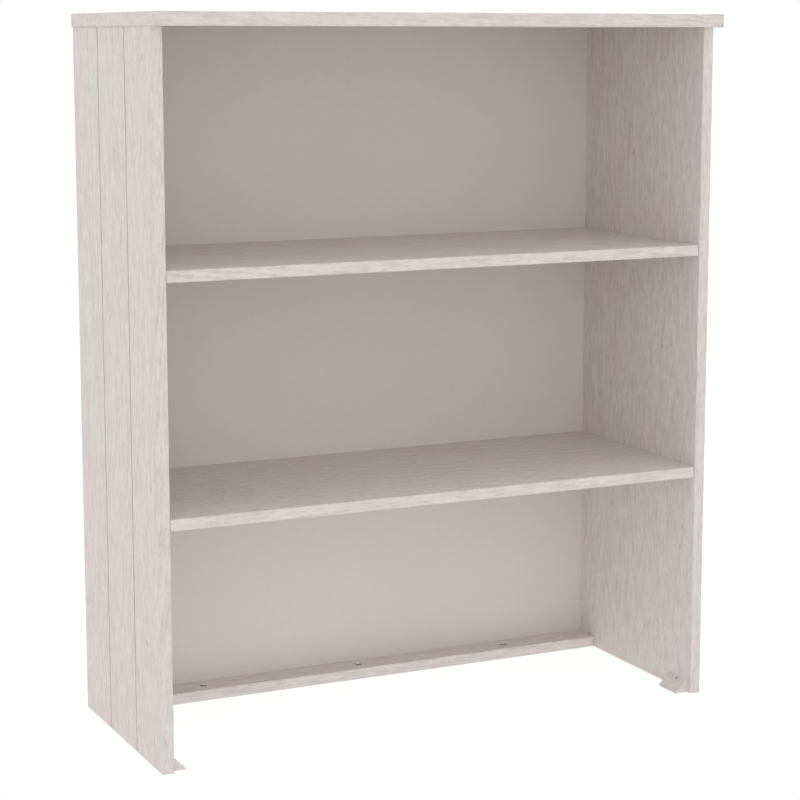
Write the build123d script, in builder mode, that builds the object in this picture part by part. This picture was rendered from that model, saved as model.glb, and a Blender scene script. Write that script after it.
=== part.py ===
from build123d import *
import os

# Desk hutch: three open bays that stand on the back of a desk or low cabinet. Solid pine
# boards, a thin painted back, and knock-down fittings hidden in the joints.
# X runs left to right, Y from the front (-) to the back (+), Z up. The origin is at the
# middle of the footprint, on the surface that the hutch stands on. Millimetres.

# Driving dimensions
overall_width = 850
overall_depth = 350
overall_height = 1000
body_width = 845  # over the outer faces of the two sides
body_depth = 327.5  # the top stands forward of the sides by the difference
board = 16  # sides, shelves and rear rail
top_board = 18
back_board = 3
bay_height = 311  # clear height of the upper and of the middle bay
rail_width = 44
shelf_setback = 1  # shelf fronts behind the side fronts
shelf_gap = 0.4  # fitting gap at each end of a shelf
edge_radius = 1.2  # eased edges that a hand can reach

groove_places = (106, 219)  # board joints drawn on the outer faces, from the front
groove_width = 3.4
groove_depth = 2.6

block_leg = 20  # the triangular block in each front corner
block_length = 46
block_setback = 9

# Fittings
cam_radius = 7.4
cam_height = 12.4
cam_distance = 24  # from the face of the side to the middle of the cam
bolt_inset = 45  # shelf bolts from the front and the rear edge of a shelf
dowel_inset = 93
dowel_radius = 4
dowel_length = 30
bolt_thread_radius = 3
bolt_thread_length = 10.5
bolt_shank_radius = 3.5
bolt_neck_radius = 2.2
bolt_head_radius = 3.4
play = 0.1  # round every fitting in its hole
bolt_play = 0.3  # round the shank of a cam bolt

# Screws: head and shank radii, lengths
rail_screw_head = 4.4
rail_screw_shank = 2
rail_screw_length = 15
rail_screw_dome = 2.4
rail_screw_spacing = 253
rail_seat_radius = 5.1  # shallow seat in the rail, wider than the head
rail_seat_depth = 0.5
rail_hole_radius = 2.25
top_screw_head = 4.3
top_screw_shank = 2.25
top_screw_length = 50
small_screw_head = 2.9  # in the back panel and the corner blocks
small_screw_shank = 1.5
small_screw_length = 16
screw_rim = 0.3  # straight edge of a screw's head, above its cone
screw_recess = 0.2  # screw heads below the face they are driven into
plug_radius = 5
plug_depth = 6

# Places that follow from them
body_front = overall_depth / 2 - body_depth
body_back = overall_depth / 2
back_front = body_back - back_board
side_height = overall_height - top_board
side_outer = body_width / 2
side_inner = side_outer - board
side_middle = side_outer - board / 2
upper_shelf_top = side_height - bay_height
lower_shelf_top = upper_shelf_top - board - bay_height
shelf_front = body_front + shelf_setback
rabbet_width = board / 2
rail_middle = back_front - rail_width / 2
bolt_rows = (body_front + bolt_inset, back_front - bolt_inset)
dowel_rows = (body_front + dowel_inset, back_front - dowel_inset)
rail_bolt_row = rail_middle + 8
rail_dowel_row = rail_middle - 12
shelf_middles = (upper_shelf_top - board / 2, lower_shelf_top - board / 2)
block_middle = body_front + block_setback + block_length / 2
block_screw_height = 0.8 * block_leg
top_screw_rows = (body_front + 30, (body_front + body_back) / 2, body_back - 30)
rail_screw_places = [x * rail_screw_spacing for x in (-1, 0, 1)]
dowel_in_side = 10  # length of each dowel that stands in a side
dowel_in_top = 11.5
top_dowel_rows = (body_front + 97, body_back - 97)
back_columns = (-330, -110, 110, 330)
back_rows = [60 + 146 * row for row in range(7)]
hands = (-1, 1)  # left, right

os.makedirs("parts", exist_ok=True)


def save(builder, label):
    """Label a finished piece and write it as its own file."""
    builder.part.label = label
    export_step(builder.part, f"parts/{label}.step")


def over_side(hand, rows, height):
    """Places along the middle of a side's thickness, looking up."""
    return [(hand * side_middle, row, height) for row in rows]


def under_top(hand, rows):
    """Places on the underside of the top, over the middle of a side, looking down."""
    return [Location((hand * side_middle, row, side_height), (180, 0, 0)) for row in rows]


def under_board(hand, rows, height):
    """Places of the cams in the underside of a shelf or the rail, looking down."""
    return [Location((hand * (side_inner - cam_distance), row, height), (180, 0, 0)) for row in rows]


def into_side(hand, row, height):
    """A place on a side's inner face, looking out of it."""
    return Location((hand * side_inner, row, height), (0, -90 * hand, 0))


def into_end(hand, row, height):
    """A place on the end of a shelf or the rail, looking out of it."""
    return Location((hand * (side_inner - shelf_gap), row, height), (0, 90 * hand, 0))


def cam_place(hand, row, middle):
    """A cam in its pocket, turned so that its mouth faces the side."""
    spot = (hand * (side_inner - cam_distance), row, middle - board / 2 + play)
    return Location(spot, (0, 0, 90 - 90 * hand))


def seat_radius(head_radius):
    """Mouth of the countersink that lets a screw's head down below the face."""
    return head_radius + screw_rim + screw_recess + play


def block_screw_place(hand):
    """Where the screw enters a corner block, square to its sloping face."""
    inset = side_inner - (block_leg - block_screw_height)
    return Location((hand * inset, block_middle, block_screw_height), (0, -45 * hand, 0))


def back_screw_places():
    """Every screw of the back panel, looking out of its rear face."""
    spots = [(hand * (side_inner + rabbet_width / 2), z) for hand in hands for z in back_rows]
    rows = (board / 2, *shelf_middles, side_height + rabbet_width / 2)
    spots += [(x, z) for z in rows for x in back_columns]
    return [Location((x, body_back, z), (-90, 0, 0)) for x, z in spots]


# ---------------------------------------------------------------- fittings, made once

def countersunk_screw(head_radius, shank_radius, length, dome=0):
    """A cross-head wood screw with the rim of its head at z = 0, pointing down."""
    cone = head_radius - shank_radius
    with BuildPart() as screw:
        with BuildSketch(Plane.XZ):
            with BuildLine():
                if dome:
                    curve = (head_radius**2 + dome**2) / (2 * dome)
                    halfway = (curve**2 - head_radius**2 / 4) ** 0.5 - curve + dome
                    ThreePointArc((0, dome), (head_radius / 2, halfway), (head_radius, 0))
                else:
                    Line((0, 0), (head_radius, 0))
                Polyline(
                    (head_radius, 0),
                    (head_radius, -screw_rim),
                    (shank_radius, -screw_rim - cone),
                    (shank_radius, -length + 2 * shank_radius),
                    (0, -length),
                    (0, dome),
                )
            make_face()
        revolve(axis=Axis.Z)
        # Cross recess
        with BuildSketch(Plane.XY.offset(dome + 0.2)):
            Rectangle(1.1 * head_radius, 0.24 * head_radius)
            Rectangle(0.24 * head_radius, 1.1 * head_radius)
        extrude(amount=-0.6 * head_radius, taper=8, mode=Mode.SUBTRACT)
    return screw.part


with BuildPart() as dowel:
    Cylinder(dowel_radius, dowel_length)
    chamfer(dowel.edges().filter_by(GeomType.CIRCLE), 1)

with BuildPart() as cam:
    # A drum with a turned-down face, open on the side that the bolt comes from
    Cylinder(cam_radius, cam_height, align=(Align.CENTER, Align.CENTER, Align.MIN))
    with BuildSketch(Plane.XY.offset(cam_height)):
        Rectangle(2 * bolt_head_radius + 1.2, 2 * bolt_head_radius + 0.6)
    extrude(amount=4.2 - cam_height, mode=Mode.SUBTRACT)
    with BuildSketch(Plane.XY.offset(cam_height)):
        with Locations((cam_radius / 2, 0)):
            Rectangle(cam_radius, 2 * bolt_neck_radius + 0.6)
    extrude(amount=5 - cam_height, mode=Mode.SUBTRACT)
    with BuildSketch(Plane.XY):
        Rectangle(8, 1.6)
        Rectangle(1.6, 8)
    extrude(amount=2, mode=Mode.SUBTRACT)

with BuildPart() as cam_bolt:
    # Thread in the side below z = 0, smooth shank, thin neck and the head that the cam draws in
    neck_start = cam_distance - cam_radius - 0.8
    head_start = cam_distance - 1.6
    head_end = cam_distance + 1.6
    with BuildSketch(Plane.XZ):
        with BuildLine():
            Polyline(
                (0, -bolt_thread_length),
                (bolt_thread_radius - 0.8, -bolt_thread_length),
                (bolt_thread_radius, 0.8 - bolt_thread_length),
                (bolt_thread_radius, 0),
                (bolt_shank_radius, 0),
                (bolt_shank_radius, neck_start),
                (bolt_neck_radius, neck_start + 1.3),
                (bolt_neck_radius, head_start),
                (bolt_head_radius, head_start),
                (bolt_head_radius, head_end - 1),
                (bolt_head_radius - 1, head_end),
                (0, head_end),
                close=True,
            )
        make_face()
    revolve(axis=Axis.Z)

rail_screw = countersunk_screw(rail_screw_head, rail_screw_shank, rail_screw_length, rail_screw_dome)
top_screw = countersunk_screw(top_screw_head, top_screw_shank, top_screw_length)
small_screw = countersunk_screw(small_screw_head, small_screw_shank, small_screw_length)


# ---------------------------------------------------------------- the boards

with BuildPart() as top_panel:
    with BuildSketch(Plane.XY.offset(side_height)):
        Rectangle(overall_width, overall_depth)
    extrude(amount=top_board)
    fillet(top_panel.edges(), edge_radius)
    # Rabbet that takes the upper edge of the back panel
    with BuildSketch(Plane.XY.offset(side_height)):
        with Locations((0, (back_front + body_back) / 2)):
            Rectangle(2 * (side_inner + rabbet_width) + 1, back_board)
    extrude(amount=rabbet_width, mode=Mode.SUBTRACT)
    for hand in hands:
        # Bore for each plug, and the countersink under it for the screw's head
        with Locations(over_side(hand, top_screw_rows, overall_height)):
            CounterBoreHole(top_screw_shank + play, plug_radius, plug_depth)
        with Locations(over_side(hand, top_screw_rows, overall_height - plug_depth)):
            CounterSinkHole(top_screw_shank + play, seat_radius(top_screw_head), counter_sink_angle=90)
        # Blind dowel holes from below
        with Locations(under_top(hand, top_dowel_rows)):
            Hole(dowel_radius + play, depth=dowel_in_top + 0.5)
    with Locations(back_screw_places()):
        Hole(small_screw_shank + play, depth=small_screw_length + 1)
save(top_panel, "top_panel")

for hand, label in zip(hands, ("left_side_panel", "right_side_panel")):
    with BuildPart() as side:
        with BuildSketch(Plane.XY):
            with Locations((hand * side_middle, (body_front + body_back) / 2)):
                Rectangle(board, body_depth)
            for place in groove_places:
                y = body_front + place
                with BuildLine():
                    Polyline(
                        (hand * side_outer, y - groove_width / 2),
                        (hand * (side_outer - groove_depth), y),
                        (hand * side_outer, y + groove_width / 2),
                        close=True,
                    )
                make_face(mode=Mode.SUBTRACT)
            with Locations((hand * (side_inner + rabbet_width / 2), (back_front + body_back) / 2)):
                Rectangle(rabbet_width + 0.5, back_board, mode=Mode.SUBTRACT)
        extrude(amount=side_height)
        front_edges = side.faces().sort_by(Axis.Y)[0].edges().filter_by(Axis.Z)
        fillet(front_edges, edge_radius)
        # Shelf bolts and dowels, then those of the rear rail
        for height in shelf_middles:
            with Locations([into_side(hand, y, height) for y in bolt_rows]):
                Hole(bolt_thread_radius + play, depth=bolt_thread_length + 0.5)
            with Locations([into_side(hand, y, height) for y in dowel_rows]):
                Hole(dowel_radius + play, depth=10.5)
        with Locations(into_side(hand, rail_bolt_row, board / 2)):
            Hole(bolt_thread_radius + play, depth=bolt_thread_length + 0.5)
        with Locations(into_side(hand, rail_dowel_row, board / 2)):
            Hole(dowel_radius + play, depth=10.5)
        # Screws and dowels of the top, the corner block's screw and those of the back
        with Locations(over_side(hand, top_screw_rows, side_height)):
            Hole(top_screw_shank + play, depth=top_screw_length - top_board + plug_depth + 1)
        with Locations(over_side(hand, top_dowel_rows, side_height)):
            Hole(dowel_radius + play, depth=dowel_length - dowel_in_top + 0.5)
        with Locations(block_screw_place(hand)):
            Hole(small_screw_shank + play, depth=small_screw_length + 1)
        with Locations(back_screw_places()):
            Hole(small_screw_shank + play, depth=small_screw_length + 1)
    save(side, label)

for middle, label in zip(shelf_middles, ("upper_shelf", "lower_shelf")):
    with BuildPart() as shelf:
        with BuildSketch(Plane.XY.offset(middle - board / 2)):
            with Locations((0, (shelf_front + back_front) / 2)):
                Rectangle(2 * (side_inner - shelf_gap), back_front - shelf_front)
        extrude(amount=board)
        fillet(shelf.faces().sort_by(Axis.Y)[0].edges(), edge_radius)
        for hand in hands:
            with Locations(under_board(hand, bolt_rows, middle - board / 2)):
                Hole(cam_radius + play, depth=cam_height + 2 * play)
            with Locations([into_end(hand, y, middle) for y in bolt_rows]):
                Hole(bolt_shank_radius + bolt_play, depth=cam_distance)
            with Locations([into_end(hand, y, middle) for y in dowel_rows]):
                Hole(dowel_radius + play, depth=dowel_length - dowel_in_side + 0.5)
        with Locations(back_screw_places()):
            Hole(small_screw_shank + play, depth=small_screw_length + 1)
    save(shelf, label)

with BuildPart() as rear_rail:
    with BuildSketch(Plane.XY):
        with Locations((0, rail_middle)):
            Rectangle(2 * (side_inner - shelf_gap), rail_width)
    extrude(amount=board)
    fillet(rear_rail.faces().sort_by(Axis.Y)[0].edges().group_by(Axis.Z)[-1], edge_radius)
    # Clearance holes for the screws down into the cabinet, each with a seat wider than its head
    with Locations([(x, rail_middle, board) for x in rail_screw_places]):
        CounterBoreHole(rail_hole_radius, rail_seat_radius, rail_seat_depth)
    with Locations([(x, rail_middle, board - rail_seat_depth) for x in rail_screw_places]):
        CounterSinkHole(rail_hole_radius, seat_radius(rail_screw_head - play), counter_sink_angle=90)
    for hand in hands:
        with Locations(under_board(hand, [rail_bolt_row], 0)):
            Hole(cam_radius + play, depth=cam_height + 2 * play)
        with Locations(into_end(hand, rail_bolt_row, board / 2)):
            Hole(bolt_shank_radius + bolt_play, depth=cam_distance)
        with Locations(into_end(hand, rail_dowel_row, board / 2)):
            Hole(dowel_radius + play, depth=dowel_length - dowel_in_side + 0.5)
    with Locations(back_screw_places()):
        Hole(small_screw_shank + play, depth=small_screw_length + 1)
save(rear_rail, "rear_rail")

with BuildPart() as back_panel:
    with BuildSketch(Plane.XZ.offset(-back_front)):
        with Locations((0, (2 + side_height + rabbet_width - 0.5) / 2)):
            Rectangle(2 * (side_inner + rabbet_width - 0.5), side_height + rabbet_width - 2.5)
    extrude(amount=-back_board)
    with Locations(back_screw_places()):
        CounterSinkHole(small_screw_shank + play, seat_radius(small_screw_head), counter_sink_angle=90)
save(back_panel, "back_panel")

for hand, label in zip(hands, ("left_corner_block", "right_corner_block")):
    with BuildPart() as block:
        with BuildSketch(Plane.XZ.offset(-body_front - block_setback)):
            with BuildLine():
                Polyline(
                    (hand * side_inner, 0),
                    (hand * (side_inner - block_leg), 0),
                    (hand * side_inner, block_leg),
                    close=True,
                )
            make_face()
        extrude(amount=-block_length)
        with Locations(block_screw_place(hand)):
            CounterSinkHole(small_screw_shank + play, seat_radius(small_screw_head), counter_sink_angle=90)
    save(block, label)


# ---------------------------------------------------------------- fasteners in their places

with BuildPart() as rail_screws:
    with Locations([(x, rail_middle, board - screw_recess) for x in rail_screw_places]):
        add(rail_screw)
save(rail_screws, "rail_screws")

with BuildPart() as corner_block_screws:
    for hand in hands:
        with Locations(block_screw_place(hand)):
            with Locations((0, 0, -screw_recess)):
                add(small_screw)
save(corner_block_screws, "corner_block_screws")

with BuildPart() as top_screws:
    for hand in hands:
        with Locations(over_side(hand, top_screw_rows, overall_height - plug_depth - screw_recess)):
            add(top_screw)
save(top_screws, "top_screws")

with BuildPart() as top_screw_plugs:
    for hand in hands:
        with Locations(over_side(hand, top_screw_rows, overall_height)):
            Cylinder(plug_radius - play / 2, plug_depth, align=(Align.CENTER, Align.CENTER, Align.MAX))
save(top_screw_plugs, "top_screw_plugs")

with BuildPart() as top_dowels:
    for hand in hands:
        with Locations(over_side(hand, top_dowel_rows, side_height + dowel_in_top - dowel_length / 2)):
            add(dowel.part)
save(top_dowels, "top_dowels")

for middle, name in zip(shelf_middles, ("upper_shelf", "lower_shelf")):
    with BuildPart() as shelf_cams:
        for hand in hands:
            with Locations([cam_place(hand, y, middle) for y in bolt_rows]):
                add(cam.part)
    save(shelf_cams, f"{name}_cams")

    with BuildPart() as shelf_bolts:
        for hand in hands:
            with Locations([into_side(hand, y, middle) for y in bolt_rows]):
                add(cam_bolt.part)
    save(shelf_bolts, f"{name}_cam_bolts")

    with BuildPart() as shelf_dowels:
        for hand in hands:
            with Locations([into_side(hand, y, middle) for y in dowel_rows]):
                with Locations((0, 0, dowel_length / 2 - dowel_in_side)):
                    add(dowel.part)
    save(shelf_dowels, f"{name}_dowels")

with BuildPart() as rail_cams:
    for hand in hands:
        with Locations(cam_place(hand, rail_bolt_row, board / 2)):
            add(cam.part)
save(rail_cams, "rail_cams")

with BuildPart() as rail_cam_bolts:
    for hand in hands:
        with Locations(into_side(hand, rail_bolt_row, board / 2)):
            add(cam_bolt.part)
save(rail_cam_bolts, "rail_cam_bolts")

with BuildPart() as rail_dowels:
    for hand in hands:
        with Locations(into_side(hand, rail_dowel_row, board / 2)):
            with Locations((0, 0, dowel_length / 2 - dowel_in_side)):
                add(dowel.part)
save(rail_dowels, "rail_dowels")

with BuildPart() as back_panel_screws:
    with Locations(back_screw_places()):
        with Locations((0, 0, -screw_recess)):
            add(small_screw)
save(back_panel_screws, "back_panel_screws")
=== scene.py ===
from math import cos, radians, sin

import bmesh
import bpy
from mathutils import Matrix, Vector


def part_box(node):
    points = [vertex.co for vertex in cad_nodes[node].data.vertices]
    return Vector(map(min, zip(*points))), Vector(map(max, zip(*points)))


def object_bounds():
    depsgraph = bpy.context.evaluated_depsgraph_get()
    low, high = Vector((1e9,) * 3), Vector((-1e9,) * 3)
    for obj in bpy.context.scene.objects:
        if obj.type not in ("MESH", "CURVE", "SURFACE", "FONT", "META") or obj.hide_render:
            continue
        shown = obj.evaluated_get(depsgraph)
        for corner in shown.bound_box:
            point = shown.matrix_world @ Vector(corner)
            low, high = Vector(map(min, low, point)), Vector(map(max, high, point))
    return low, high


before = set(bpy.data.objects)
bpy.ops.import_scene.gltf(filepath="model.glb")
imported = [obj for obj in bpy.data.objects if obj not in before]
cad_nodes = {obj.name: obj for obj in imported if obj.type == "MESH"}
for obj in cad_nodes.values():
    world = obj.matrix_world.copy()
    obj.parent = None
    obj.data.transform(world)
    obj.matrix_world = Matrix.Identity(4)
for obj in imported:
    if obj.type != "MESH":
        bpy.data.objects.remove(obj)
cad_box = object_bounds()
hutch_low, hutch_high = cad_box

# The camera. It stands a little left of the hutch, at the height of its top, so the top shows as
# its front edge only. The lens is long, and it looks slightly down.
camera_data = bpy.data.cameras.new("camera")
camera_data.sensor_width = 36
camera_data.lens = 96.3
camera_data.shift_y = -0.05
camera = bpy.data.objects.new("camera", camera_data)
camera.location = (-1.318, -2.746, 0.966)
camera.rotation_euler = (radians(90 - 8.54), 0, radians(-25.63))
bpy.context.scene.collection.objects.link(camera)
bpy.context.scene.camera = camera

# The studio. A white room lights the hutch evenly from all sides, over a floor that is a white
# light table. Three large softboxes, ahead, to the left and overhead, give it a little form.
# Colours are shown as they are, but for the brightest fifth, which is burnt out to white.
room_strength = 0.83
table_glow = 0.805
burn_out = ((0.0, 0.0), (0.765, 0.765), (0.82, 1.0), (1.0, 1.0))
softboxes = {
    "ahead": {"turn": -14, "rise": 12, "watts": 19.5},
    "left": {"turn": -80, "rise": 15, "watts": 17.5},
    "overhead": {"turn": 0, "rise": 89, "watts": 19.0},
}
softbox_side = 3.0
softbox_distance = 5.0
floor_radius = 30
floor_sides = 128
floor_drop = 0.0002
room = bpy.data.worlds.new("white_room")
room.use_nodes = True
room.node_tree.nodes["Background"].inputs["Color"].default_value = (1, 1, 1, 1)
room.node_tree.nodes["Background"].inputs["Strength"].default_value = room_strength
bpy.context.scene.world = room
print_look = bpy.context.scene.view_settings
print_look.view_transform = "Standard"
print_look.use_curve_mapping = True
print_curve = print_look.curve_mapping.curves[3]
for shown in burn_out[1:-1]:
    print_curve.points.new(*shown)
for point in print_curve.points:
    point.handle_type = "VECTOR"
print_look.curve_mapping.update()


def studio_floor(radius, sides):
    """A flat disc, level with the underside of the hutch."""
    mesh = bpy.data.meshes.new("studio_floor")
    shape = bmesh.new()
    bmesh.ops.create_circle(shape, cap_ends=True, radius=radius, segments=sides)
    shape.to_mesh(mesh)
    shape.free()
    floor = bpy.data.objects.new("studio_floor", mesh)
    floor.location.z = hutch_low.z - floor_drop
    bpy.context.scene.collection.objects.link(floor)
    paint = bpy.data.materials.new("floor_paint")
    paint.use_nodes = True
    surface = paint.node_tree.nodes["Principled BSDF"]
    surface.inputs["Base Color"].default_value = (0.03, 0.03, 0.03, 1)
    surface.inputs["Roughness"].default_value = 0.9
    surface.inputs["Specular IOR Level"].default_value = 0.0
    surface.inputs["Emission Color"].default_value = (1, 1, 1, 1)
    surface.inputs["Emission Strength"].default_value = table_glow
    mesh.materials.append(paint)


studio_floor(floor_radius, floor_sides)

hutch_middle = (hutch_low + hutch_high) / 2
for name, box in softboxes.items():
    turn, rise = radians(box["turn"]), radians(box["rise"])
    toward_box = Vector((sin(turn) * cos(rise), -cos(turn) * cos(rise), sin(rise)))
    light = bpy.data.lights.new(f"softbox_{name}", "AREA")
    light.size = softbox_side
    light.energy = box["watts"]
    softbox = bpy.data.objects.new(f"softbox_{name}", light)
    softbox.location = hutch_middle + toward_box * softbox_distance
    softbox.rotation_euler = toward_box.to_track_quat("Z", "Y").to_euler()
    bpy.context.scene.collection.objects.link(softbox)

# The two sides: 16 mm boards of solid pine with their grain upright, wire-brushed, then washed white
# so that the grain still shows. Each has two V grooves down its outer face, cut before the wash, whose
# walls are darkened with painted shade.


class Mark:
    """One socket of a material's nodes. A sum on it adds Math nodes, and node() adds any other."""

    def __init__(self, tree, link=None):
        self.tree = tree
        self.link = link

    def node(self, kind, settings=None, sockets=None, output=0):
        """A new node: its settings first, then the value or the link of each socket named."""
        made = self.tree.nodes.new(kind)
        for name, value in (settings or {}).items():
            setattr(made, name, value)
        for name, value in (sockets or {}).items():
            if isinstance(value, Mark):
                self.tree.links.new(value.link, made.inputs[name])
            else:
                made.inputs[name].default_value = value
        return Mark(self.tree, made.outputs[output])

    def beside(self, output):
        """Another output of the same node."""
        return Mark(self.tree, self.link.node.outputs[output])

    def sum(self, operation, first, second):
        return self.node("ShaderNodeMath", {"operation": operation}, {0: first, 1: second})

    def __add__(self, other):
        return self.sum("ADD", self, other)

    def __radd__(self, other):
        return self.sum("ADD", other, self)

    def __sub__(self, other):
        return self.sum("SUBTRACT", self, other)

    def __rsub__(self, other):
        return self.sum("SUBTRACT", other, self)

    def __mul__(self, other):
        return self.sum("MULTIPLY", self, other)

    def __rmul__(self, other):
        return self.sum("MULTIPLY", other, self)

    def __truediv__(self, other):
        return self.sum("DIVIDE", self, other)

    def __pow__(self, other):
        return self.sum("POWER", self, other)

    def __abs__(self):
        return self.node("ShaderNodeMath", {"operation": "ABSOLUTE"}, {0: self})

    def lesser(self, other):
        return self.sum("MINIMUM", self, other)

    def greater(self, other):
        return self.sum("MAXIMUM", self, other)

    def rise(self, low, high):
        """0 below low, 1 above high, and a soft step between. It falls where low is above high."""
        return self.node(
            "ShaderNodeMapRange",
            {"interpolation_type": "SMOOTHSTEP"},
            {"Value": self, "From Min": low, "From Max": high},
        )

    def mottle(self, x, y, z, detail=2.0, roughness=0.5):
        """Soft noise, about 0.3 to 0.7, read at the point x, y, z."""
        point = self.node("ShaderNodeCombineXYZ", {}, {0: x, 1: y, 2: z})
        return self.node(
            "ShaderNodeTexNoise",
            {"noise_dimensions": "3D"},
            {"Vector": point, "Scale": 1.0, "Detail": detail, "Roughness": roughness},
        )

    def tint(self, first, second):
        """The colour first where this mark is 0, and second where it is 1."""
        return self.node(
            "ShaderNodeMix",
            {"data_type": "RGBA", "clamp_factor": True},
            {0: self, 6: first, 7: second},
            output=2,
        )


def place(tree, centre):
    """The point being shaded, measured from the centre of its piece: three marks, in metres."""
    start = Mark(tree)
    point = start.node("ShaderNodeTexCoord", {}, {}, output="Object")
    point = start.node("ShaderNodeVectorMath", {"operation": "SUBTRACT"}, {0: point, 1: centre})
    x = start.node("ShaderNodeSeparateXYZ", {}, {0: point})
    return x, x.beside(1), x.beside(2)


def edge_gap(spans, halves):
    """How far the point is from the nearest edge of its board, along the face it is on."""
    gaps = [half - abs(span) for span, half in zip(spans, halves)]
    low = gaps[0].lesser(gaps[1])
    high = gaps[0].greater(gaps[1])
    return low.greater(high.lesser(gaps[2]))


def finish_surface(material, colour, roughness, height, lift, specular=0.3, metallic=0.0):
    """Joins colour, roughness and relief to the material. Lift is the height of the relief, metres."""
    tree = material.node_tree
    surface = tree.nodes["Principled BSDF"]
    tree.links.new(colour.link, surface.inputs["Base Color"])
    tree.links.new(roughness.link, surface.inputs["Roughness"])
    surface.inputs["Specular IOR Level"].default_value = specular
    surface.inputs["Metallic"].default_value = metallic
    relief = height.node("ShaderNodeBump", {}, {"Height": height, "Distance": lift, "Strength": 1.0})
    tree.links.new(relief.link, surface.inputs["Normal"])


wash_pink = (0.824, 0.738, 0.731, 1)
wash_green = (0.802, 0.755, 0.716, 1)
wash_white = (0.840, 0.788, 0.765, 1)
bare_pine = (0.400, 0.340, 0.305, 1)
# The knot brown is also the colour of the painted shade inside the sides' V grooves.
knot_brown_and_groove_shade = (0.300, 0.235, 0.205, 1)
ring_width = 0.0034
pine_relief = 0.00022
worn_edge = 0.0024
groove_half_width = 0.0022
groove_depth = 0.0030
pale_streaks = 0.35
knot_strength = 0.34
groove_shade_strength = 0.52


def washed_pine(name, low, high, along, pith, seed, knots=(), grooves=()):
    """Brushed and washed pine for one board.

    along is the axis of the grain, 0 to 2. pith is where the middle of the tree lay: its offset
    across and through the board, then its lean along each. knots are (along, across, radius).
    grooves are (across, faces) with the outer face's distance from the middle of the board.
    """
    pine = bpy.data.materials.new(name)
    pine.use_nodes = True
    centre = (low + high) / 2
    halves = (high - low) / 2
    spans = place(pine.node_tree, centre)
    thick, wide = sorted({0, 1, 2} - {along}, key=lambda axis: halves[axis])
    length, width, depth = spans[along], spans[wide], spans[thick]
    start = length

    # Growth rings round a leaning pith, bent by slow drift and by each knot.
    sway = start.mottle(length * 2.2 + seed, width * 5, depth * 5, detail=1.0) - 0.5
    ripple = start.mottle(length * 9 + seed, width * 40, depth * 40, detail=2.0) - 0.5
    off_across = width - pith[0] - length * pith[2]
    off_through = depth - pith[1] - length * pith[3]
    ring = (off_across * off_across + off_through * off_through) ** 0.5
    ring = ring / ring_width + sway * 5.0 + ripple * 1.3
    knot = None
    for knot_along, knot_across, radius in knots:
        aside = (length - knot_along) * 0.62
        gap = (aside * aside + (width - knot_across) * (width - knot_across)) ** 0.5
        ring = ring + gap.rise(radius * 4.5, 0) * 2.6
        spot = gap.rise(radius * 1.15, radius * 0.75)
        knot = spot if knot is None else knot.greater(spot)
    turn = ring.node("ShaderNodeMath", {"operation": "FRACT"}, {0: ring})
    count = ring.node("ShaderNodeMath", {"operation": "FLOOR"}, {0: ring})
    vigour = count.node("ShaderNodeTexWhiteNoise", {"noise_dimensions": "1D"}, {"W": count + seed})
    late = turn.rise(0.30, 0.90) * turn.rise(1.0, 0.93) * (0.35 + vigour * 0.65)

    # Brush lines, short fibres, streaks, dashes of open grain, and slow patches in the wash.
    brush = start.mottle(length * 70, width * 1700 + seed, depth * 1700, detail=2.0)
    fibre = start.mottle(length * 85 + seed, width * 520, depth * 520, detail=3.0, roughness=0.65)
    streak = start.mottle(length * 30, width * 125 + seed, depth * 125, detail=3.0, roughness=0.6)
    patch = start.mottle(length * 12 + seed, width * 10, depth * 10 + seed, detail=2.0)
    cloud = start.mottle(length * 11, width * 75 + seed, depth * 75, detail=4.0, roughness=0.6)
    dash_point = start.node(
        "ShaderNodeCombineXYZ", {}, {0: length * 75 + seed, 1: width * 520, 2: depth * 520}
    )
    dash = start.node("ShaderNodeTexVoronoi", {"feature": "F1"}, {"Vector": dash_point, "Scale": 1.0})
    chance = start.node("ShaderNodeSeparateXYZ", {}, {0: dash.beside("Color")})
    dash = dash.rise(0.40, 0.12) * chance.rise(0.55, 0.95)

    # Where the wash lies thin, the pine shows: on hard rings, in open grain, at worn edges.
    edge = edge_gap(spans, halves) + (cloud - 0.5) * 0.0035
    worn = edge.rise(worn_edge, 0.0004)
    thin = late * streak.rise(0.28, 0.62) * 0.18 + fibre.rise(0.34, 0.66) * 0.17
    thin = thin + streak.rise(0.40, 0.70) * 0.12 + dash * 0.20 + cloud.rise(0.44, 0.72) * 0.09
    thin = thin + brush.rise(0.50, 0.72) * 0.12 + worn * 0.05
    # Painted shade: the walls of each V groove are tinted towards brown to stand in for the shade
    # inside the groove.
    groove_shade = None
    for groove_across, face in grooves:
        sunk = face - depth if face > 0 else depth - face
        cut = abs(width - groove_across).rise(groove_half_width, 0.0016)
        cut = cut * sunk.rise(0.00004, 0.0004) * sunk.rise(groove_depth, 0.0026)
        groove_shade = cut if groove_shade is None else groove_shade.greater(cut)
    wash = patch.rise(0.36, 0.64).tint(wash_pink, wash_green)
    wash = (streak.rise(0.60, 0.34) * pale_streaks).tint(wash, wash_white)
    colour = thin.tint(wash, bare_pine)
    if knot is not None:
        colour = (knot * knot_strength).tint(colour, knot_brown_and_groove_shade)
    if groove_shade is not None:
        colour = (groove_shade * groove_shade_strength).tint(colour, knot_brown_and_groove_shade)

    roughness = 0.66 + (fibre - 0.5) * 0.30 - late * 0.06
    height = late * 0.55 - fibre * 0.6 - dash * 0.8 + cloud * 0.3 - brush * 0.35
    finish_surface(pine, colour, roughness, height, pine_relief)
    return pine


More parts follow.
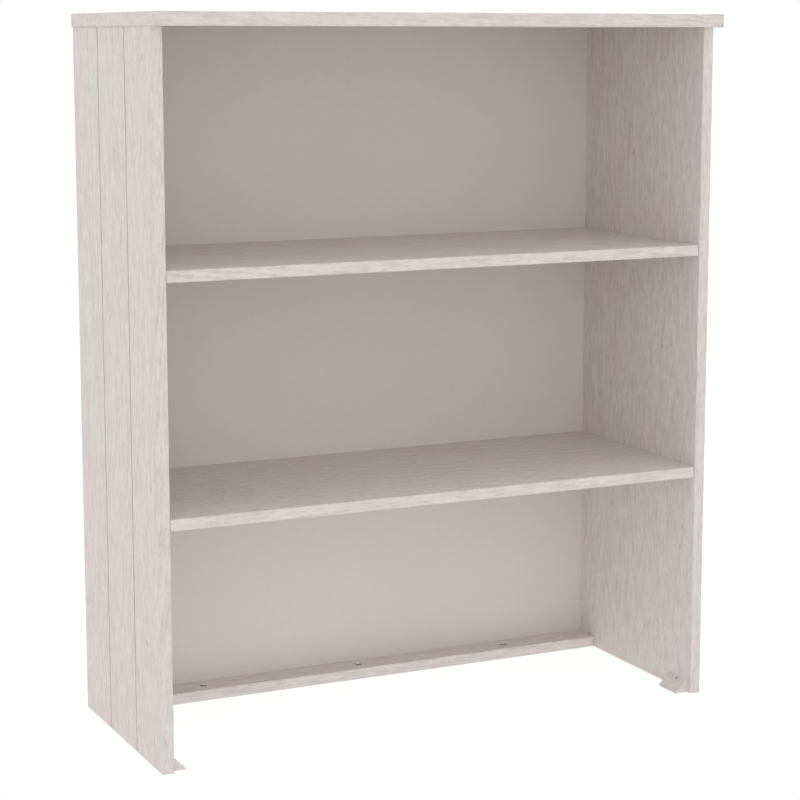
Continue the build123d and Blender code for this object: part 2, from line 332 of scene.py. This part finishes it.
groove_from_front = (0.106, 0.219)
side_knots = {
    "left": (
        (0.452, -0.128, 0.0030),
        (-0.11, -0.135, 0.0026),
        (-0.325, -0.108, 0.0032),
        (0.13, 0.03, 0.0022),
    ),
    "right": (
        (-0.243, -0.134, 0.0026),
        (-0.275, -0.128, 0.0032),
        (0.305, 0.02, 0.0028),
        (0.02, -0.07, 0.0022),
    ),
}
for hand, sign in (("left", -1), ("right", 1)):
    node = f"{hand}_side_panel"
    low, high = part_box(node)
    middle = (low + high) / 2
    outer = sign * (high.x - low.x) / 2
    cad_nodes[node].material_slots[0].material = washed_pine(
        f"washed_pine_{hand}_side",
        low,
        high,
        along=2,
        pith=(0.035 * sign, -0.075 * sign, 0.055, 0.012),
        seed=4.3 + sign,
        knots=side_knots[hand],
        grooves=[(low.y + offset - middle.y, outer) for offset in groove_from_front],
    )

# The top: an 18 mm board with its grain across the hutch. It lies over both sides, stands forward
# of them, and every edge is eased by hand.
low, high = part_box("top_panel")
cad_nodes["top_panel"].material_slots[0].material = washed_pine(
    "washed_pine_top",
    low,
    high,
    along=0,
    pith=(-0.06, -0.09, 0.05, 0.01),
    seed=11.7,
    knots=((-0.21, 0.07, 0.0035), (0.17, -0.06, 0.0042), (0.33, 0.11, 0.0028)),
)

# Two fixed shelves, 16 mm boards cut to the width between the sides, with their grain across.
shelf_knots = {
    "upper_shelf": ((-0.17, -0.02, 0.0030), (0.24, 0.06, 0.0036)),
    "lower_shelf": ((-0.28, -0.03, 0.0034), (0.05, 0.05, 0.0030), (0.31, -0.09, 0.0026)),
}
for number, (node, knots) in enumerate(shelf_knots.items()):
    low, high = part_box(node)
    cad_nodes[node].material_slots[0].material = washed_pine(
        f"washed_pine_{node}",
        low,
        high,
        along=0,
        pith=(0.05 - 0.09 * number, -0.08, 0.045 - 0.08 * number, 0.008),
        seed=20.1 + 5.3 * number,
        knots=knots,
    )

# The rail: a narrow pine board laid flat along the floor against the back. Three screws go down
# through it into the furniture that the hutch stands on.
low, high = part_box("rear_rail")
cad_nodes["rear_rail"].material_slots[0].material = washed_pine(
    "washed_pine_rail",
    low,
    high,
    along=0,
    pith=(0.03, -0.05, 0.02, 0.01),
    seed=31.9,
    knots=((-0.05, 0.004, 0.0024), (0.29, -0.006, 0.0020)),
)

# A small three-cornered block of pine in each front corner, screwed and glued behind the front edge
# of the side, where it holds the side upright on the furniture below.
for hand, sign in (("left", -1), ("right", 1)):
    node = f"{hand}_corner_block"
    low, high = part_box(node)
    cad_nodes[node].material_slots[0].material = washed_pine(
        f"washed_pine_{hand}_block",
        low,
        high,
        along=1,
        pith=(0.03 * sign, -0.04, 0.02, 0.01),
        seed=38.2 + 2 * sign,
    )

# Wooden plugs over the top's screws, cut from pine along the grain, sanded flush, then washed with
# the top.
low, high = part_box("top_screw_plugs")
cad_nodes["top_screw_plugs"].material_slots[0].material = washed_pine(
    "washed_pine_plugs",
    low,
    high,
    along=0,
    pith=(0.09, -0.06, 0.05, 0.01),
    seed=46.6,
)

# The back: one thin fibreboard panel in rabbets behind the sides, sprayed in the colour of the wash.
# It is smooth, with the faint stipple and slow drift of sprayed paint.
back_paint = (0.715, 0.666, 0.640, 1)
back_paint_light = (0.735, 0.684, 0.662, 1)
back_speck = (0.56, 0.51, 0.48, 1)
back_relief = 0.00008
low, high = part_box("back_panel")
paint = bpy.data.materials.new("sprayed_back")
paint.use_nodes = True
x, y, z = place(paint.node_tree, (low + high) / 2)
drift = x.mottle(x * 3.1, y * 3, z * 2.3, detail=2.0)
stipple = x.mottle(x * 520, y * 520, z * 520, detail=2.0)
speck = x.mottle(x * 90, y * 90, z * 90, detail=3.0, roughness=0.6)
colour = drift.rise(0.36, 0.64).tint(back_paint, back_paint_light)
colour = (speck.rise(0.45, 0.80) * 0.10).tint(colour, back_speck)
roughness = 0.52 + (stipple - 0.5) * 0.22
finish_surface(paint, colour, roughness, stipple * 0.7 + speck * 0.5, back_relief)
cad_nodes["back_panel"].material_slots[0].material = paint


# The screws and the bolts of the cam fittings: steel wire, headed, rolled, and plated with zinc.
# Most of them are hidden in the boards.
zinc_dark = (0.70, 0.71, 0.72, 1)
zinc_bright = (0.86, 0.86, 0.84, 1)
# Near black, for the painted shade round the foot of a domed screw head.
seat_shade = (0.07, 0.06, 0.055, 1)
plate_relief = 0.00002


def plated_metal(name, node, dark, bright, roughness_range, lift, metallic=1.0, shade_top=0.0):
    """Plated or cast metal: colour and gloss drift, with fine scratches and pitting.

    Painted shade darkens the foot of a domed head, from its seat up to a set height below its crown.
    """
    metal = bpy.data.materials.new(name)
    metal.use_nodes = True
    low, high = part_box(node)
    x, y, z = place(metal.node_tree, (low + high) / 2)
    bloom = x.mottle(x * 170, y * 170, z * 170, detail=3.0)
    grit = x.mottle(x * 1500, y * 1500, z * 1500, detail=3.0, roughness=0.6)
    scratch = x.mottle(x * 260, y * 2300, z * 2300, detail=2.0)
    colour = (bloom.rise(0.35, 0.65) * 0.7 + scratch.rise(0.55, 0.75) * 0.3).tint(dark, bright)
    # Painted shade: the foot of a domed head is darkened, as if it lay in the shadow round its seat.
    if shade_top:
        crown = (high.z - low.z) / 2
        foot_shade = z.rise(crown - shade_top + 0.0003, crown - shade_top - 0.0003)
        colour = (foot_shade * 0.9).tint(colour, seat_shade)
    smooth, rough = roughness_range
    roughness = smooth + bloom.rise(0.35, 0.68) * (rough - smooth) + (grit - 0.5) * 0.12
    finish_surface(metal, colour, roughness, grit * 0.6 + scratch * 0.6, lift, 0.5, metallic)
    return metal


steel_nodes = [
    "top_screws",
    "upper_shelf_cam_bolts",
    "lower_shelf_cam_bolts",
    "rail_cam_bolts",
    "back_panel_screws",
]
for node in steel_nodes:
    cad_nodes[node].material_slots[0].material = plated_metal(
        f"plated_steel_{node}", node, zinc_dark, zinc_bright, (0.24, 0.38), plate_relief
    )

# The rail's three screws have domed heads of polished steel. Round the foot of each head the colour
# is darkened with painted shade, which leaves the crown looking lit.
crown_dark = (0.88, 0.88, 0.88, 1)
crown_bright = (0.97, 0.97, 0.96, 1)
unshaded_crown = 0.0012
cad_nodes["rail_screws"].material_slots[0].material = plated_metal(
    "polished_steel_rail_screws",
    "rail_screws",
    crown_dark,
    crown_bright,
    (0.20, 0.32),
    plate_relief,
    shade_top=unshaded_crown,
)

# One small screw holds each corner block. It is plated too, and was driven before the wash, which
# has left a thin pale coat on its head.
coat_thin = (0.62, 0.58, 0.56, 1)
coat_full = (0.78, 0.74, 0.71, 1)
cad_nodes["corner_block_screws"].material_slots[0].material = plated_metal(
    "washed_steel_corner_block_screws",
    "corner_block_screws",
    coat_thin,
    coat_full,
    (0.45, 0.60),
    plate_relief,
    metallic=0.3,
)

# The cams in the undersides of the shelves and the rail: die-cast zinc, dull grey from the mould.
cast_dark = (0.36, 0.37, 0.39, 1)
cast_bright = (0.52, 0.53, 0.54, 1)
cast_relief = 0.00006
for node in ("upper_shelf_cams", "lower_shelf_cams", "rail_cams"):
    cad_nodes[node].material_slots[0].material = plated_metal(
        f"cast_zinc_{node}", node, cast_dark, cast_bright, (0.42, 0.60), cast_relief
    )


# The dowels: 8 mm beech, turned and left bare, glued in the ends of the boards. Short dark ray
# flecks lie along the grain.
beech_pink = (0.58, 0.40, 0.25, 1)
beech_straw = (0.70, 0.52, 0.34, 1)
ray_brown = (0.36, 0.21, 0.12, 1)
beech_relief = 0.00008


def bare_beech(name, node, along):
    """Bare beech, pinkish straw with its flecks, for one group of dowels."""
    beech = bpy.data.materials.new(name)
    beech.use_nodes = True
    low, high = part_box(node)
    spans = place(beech.node_tree, (low + high) / 2)
    length = spans[along]
    side_a, side_b = [spans[axis] for axis in range(3) if axis != along]
    grain = length.mottle(length * 60, side_a * 900, side_b * 900, detail=3.0, roughness=0.6)
    fleck = length.mottle(length * 420, side_a * 2100, side_b * 2100, detail=1.0)
    colour = grain.rise(0.38, 0.66).tint(beech_pink, beech_straw)
    colour = (fleck.rise(0.60, 0.72) * 0.5).tint(colour, ray_brown)
    roughness = 0.60 + (grain - 0.5) * 0.25
    finish_surface(beech, colour, roughness, grain * 0.8 - fleck * 0.3, beech_relief)
    return beech


for node, along in (
    ("top_dowels", 2),
    ("upper_shelf_dowels", 0),
    ("lower_shelf_dowels", 0),
    ("rail_dowels", 0),
):
    cad_nodes[node].material_slots[0].material = bare_beech(f"beech_{node}", node, along)
